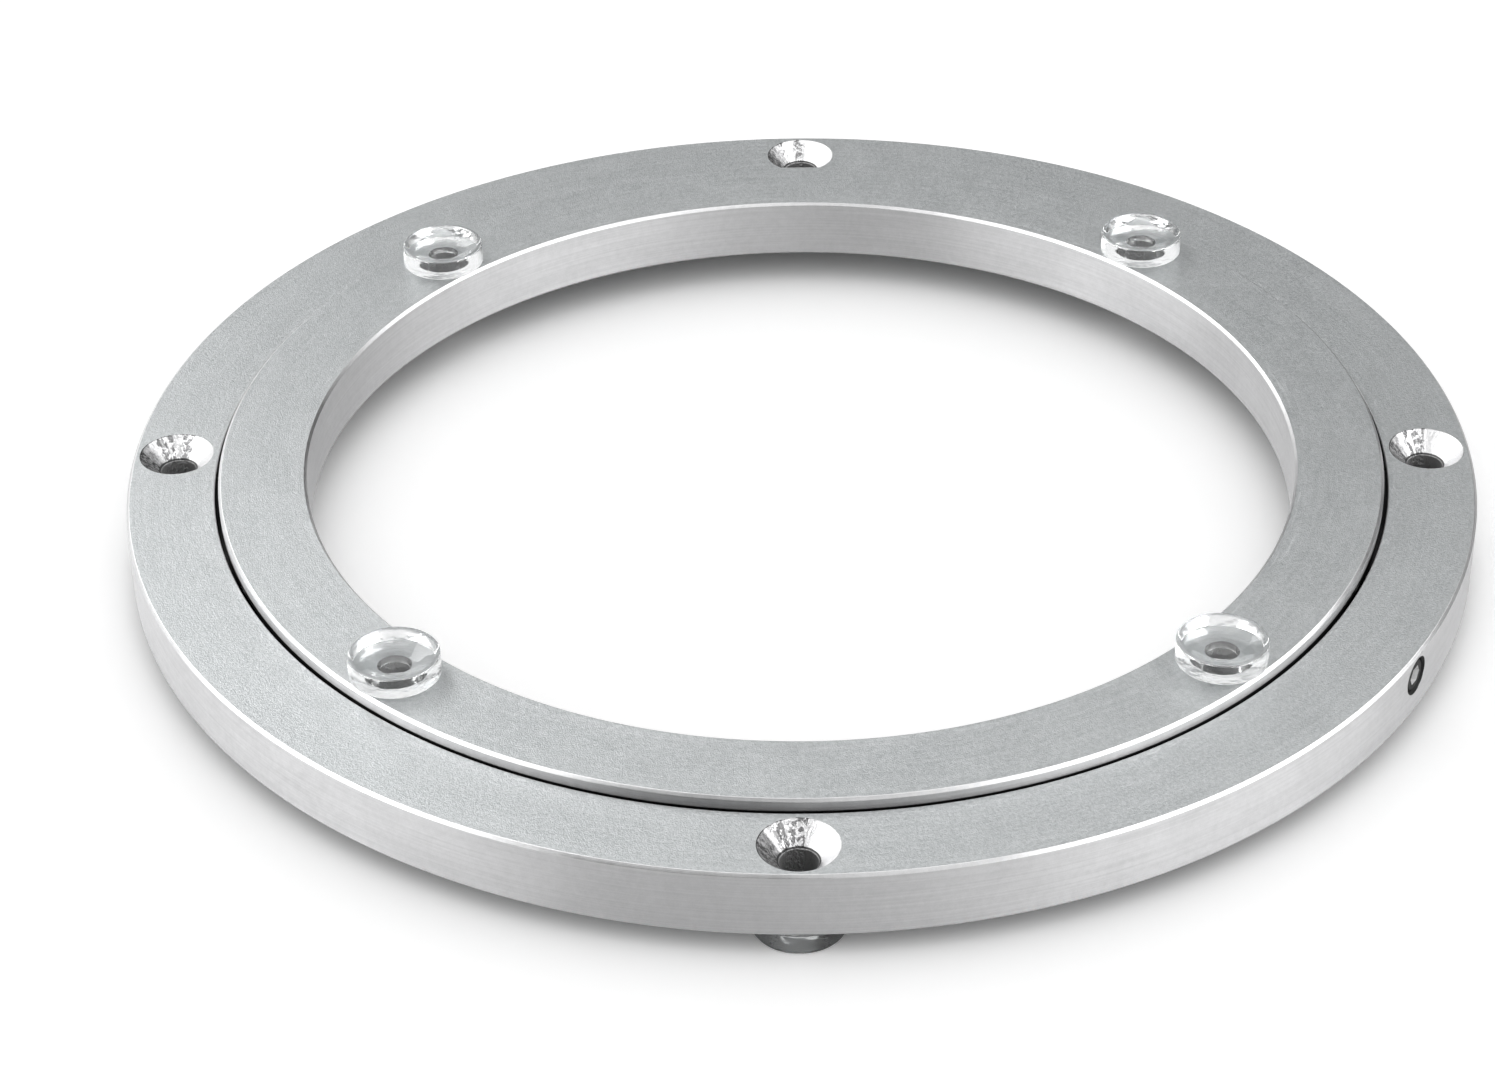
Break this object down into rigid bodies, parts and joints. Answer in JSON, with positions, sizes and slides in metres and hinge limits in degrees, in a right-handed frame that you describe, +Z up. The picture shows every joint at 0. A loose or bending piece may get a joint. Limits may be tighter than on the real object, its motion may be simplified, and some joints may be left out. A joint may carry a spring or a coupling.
{
  "type": "lazy susan bearing",
  "caption": "Flat round turntable bearing: two concentric aluminium rings turn on a hidden ball race, with countersunk screw holes and clear round pads.",
  "frame": {"origin": "on the turning axis, in the plane of the undersides of the feet", "axes": "+Z up along the turning axis, from the feet to the pads; +X through the first screw hole of the outer ring; the picture looks along +Y from in front and above"},
  "size_m": [0.2, 0.2, 0.0179],
  "materials": {
    "ring_aluminium": "turned and fine blasted, satin",
    "clear_pad": "clear moulded, glossy",
    "plug_steel": "black oxide, worn bright in the socket",
    "ball_steel": "polished",
    "spacer_nylon": "black nylon, matte"
  },
  "bodies": {
    "outer_race": {"outer_ring": "ring_aluminium", "filling_plug": "plug_steel", "foot_1": "clear_pad", "foot_2": "clear_pad", "foot_3": "clear_pad", "foot_4": "clear_pad"},
    "inner_race": {"inner_ring": "ring_aluminium", "pad_1": "clear_pad", "pad_2": "clear_pad", "pad_3": "clear_pad", "pad_4": "clear_pad"},
    "ball_train": {"bearing_balls": "ball_steel", "ball_spacer_1": "spacer_nylon", "ball_spacer_2": "spacer_nylon", "ball_spacer_3": "spacer_nylon", "ball_spacer_4": "spacer_nylon", "ball_spacer_5": "spacer_nylon", "ball_spacer_6": "spacer_nylon", "ball_spacer_7": "spacer_nylon", "ball_spacer_8": "spacer_nylon", "ball_spacer_9": "spacer_nylon", "ball_spacer_10": "spacer_nylon", "ball_spacer_11": "spacer_nylon", "ball_spacer_12": "spacer_nylon", "ball_spacer_13": "spacer_nylon", "ball_spacer_14": "spacer_nylon", "ball_spacer_15": "spacer_nylon", "ball_spacer_16": "spacer_nylon"}
  },
  "joints": [
    {"name": "inner_ring_turn", "type": "hinge", "parent": "outer_race", "child": "inner_race", "pos_m": [0, 0, 0.0095], "axis": [0, 0, 1], "continuous": true},
    {"name": "ball_train_turn", "type": "hinge", "parent": "outer_race", "child": "ball_train", "pos_m": [0, 0, 0.0095], "axis": [0, 0, 1], "continuous": true}
  ],
  "couplings": [
    {"joint": "ball_train_turn", "follows": "inner_ring_turn", "ratio": 0.49185}
  ]
}
